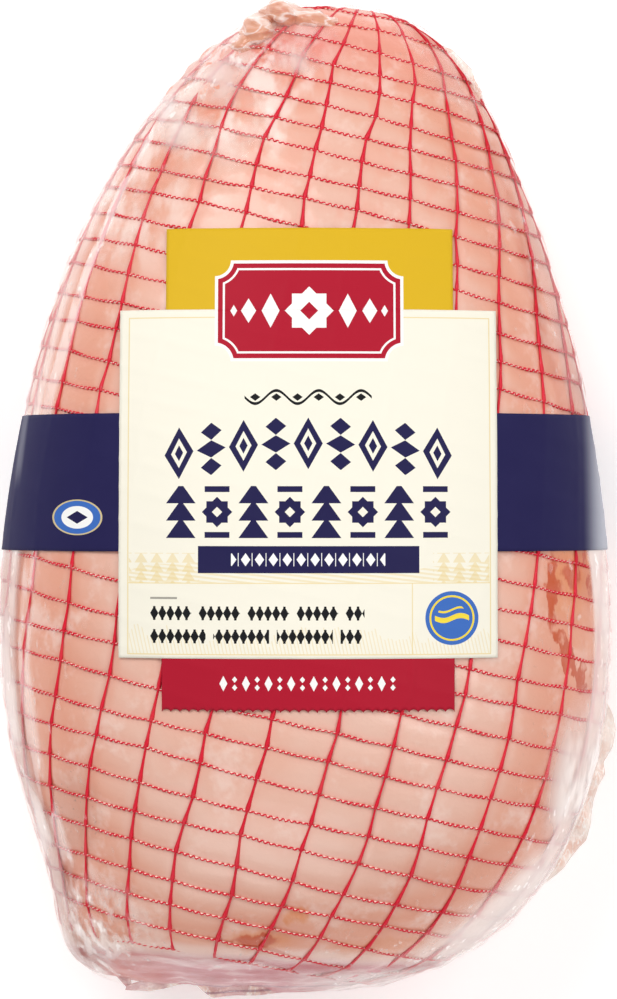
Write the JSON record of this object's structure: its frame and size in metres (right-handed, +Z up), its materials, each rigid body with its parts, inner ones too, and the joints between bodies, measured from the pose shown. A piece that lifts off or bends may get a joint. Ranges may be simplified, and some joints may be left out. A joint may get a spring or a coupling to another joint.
{
  "type": "vacuum-packed netted ham",
  "caption": "Boned cooked ham in an elastic net, sealed in clear shrink film, with a printed wrap-round label; lies on its back.",
  "frame": {"origin": "centre of the bounding box in plan, on the surface that the ham lies on", "axes": "+Y towards the narrow shank end, +Z up through the label panel, +X to the right as the label is seen with the shank end up"},
  "size_m": [0.1867, 0.3008, 0.12],
  "materials": {
    "sealed_ham": "glossy",
    "label_band": "satin",
    "label_panel": "satin",
    "label_upper_tab": "satin",
    "label_lower_tab": "satin"
  },
  "bodies": {
    "root": {"sealed_ham": "sealed_ham", "label_band": "label_band", "label_panel": "label_panel", "label_upper_tab": "label_upper_tab", "label_lower_tab": "label_lower_tab"}
  },
  "joints": []
}
